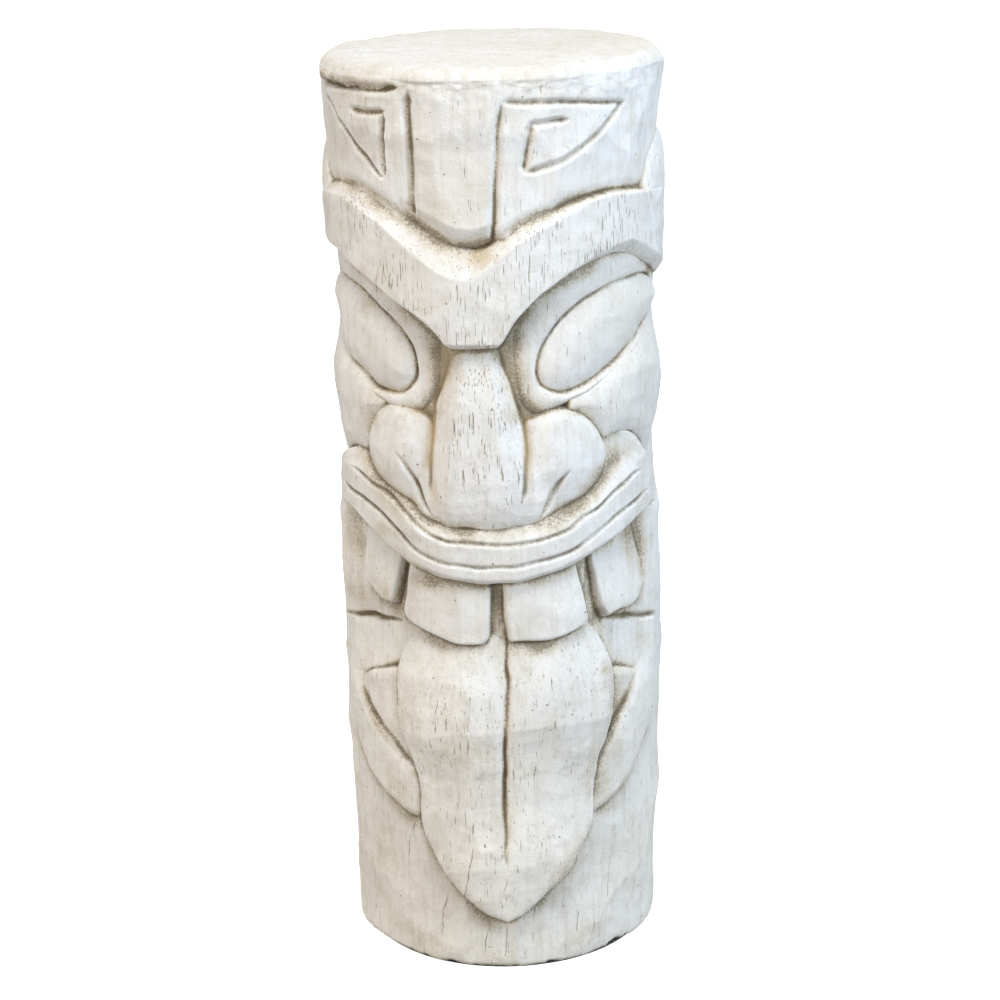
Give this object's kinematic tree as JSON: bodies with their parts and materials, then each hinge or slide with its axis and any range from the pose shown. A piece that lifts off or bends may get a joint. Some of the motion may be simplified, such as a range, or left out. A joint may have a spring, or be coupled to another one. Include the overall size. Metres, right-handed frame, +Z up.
{
  "type": "tiki figure",
  "caption": "Upright round column carved with a tiki face: V-shaped brow, almond eyes, wide nose, bared upper teeth and a long pointed tongue, in whitewashed cement stone.",
  "frame": {"origin": "centre of the foot, on the surface that the figure stands on", "axes": "+Z up along the column's axis; the face looks along -Y; +X is on the viewer's right, facing the figure"},
  "size_m": [0.368, 0.3646, 1],
  "materials": {
    "cement": "matt, chalky whitewash over cast cement, with dirt in the creases",
    "pad": "matt"
  },
  "bodies": {
    "root": {"shell": "cement", "top_cap": "cement", "base_pad": "pad", "brow": "cement", "ear_left": "cement", "ear_right": "cement", "nose": "cement", "nostril_left": "cement", "nostril_right": "cement", "eyeball_left": "cement", "eyeball_right": "cement", "eye_socket_left": "cement", "eye_socket_right": "cement", "upper_lip": "cement", "upper_tooth_1": "cement", "upper_tooth_2": "cement", "upper_tooth_3": "cement", "upper_tooth_4": "cement", "tongue": "cement", "lower_tooth_left": "cement", "lower_tooth_right": "cement", "inner_lip_left": "cement", "inner_lip_right": "cement", "lower_lip_left": "cement", "lower_lip_right": "cement", "cheek_left": "cement", "cheek_right": "cement"}
  },
  "joints": []
}
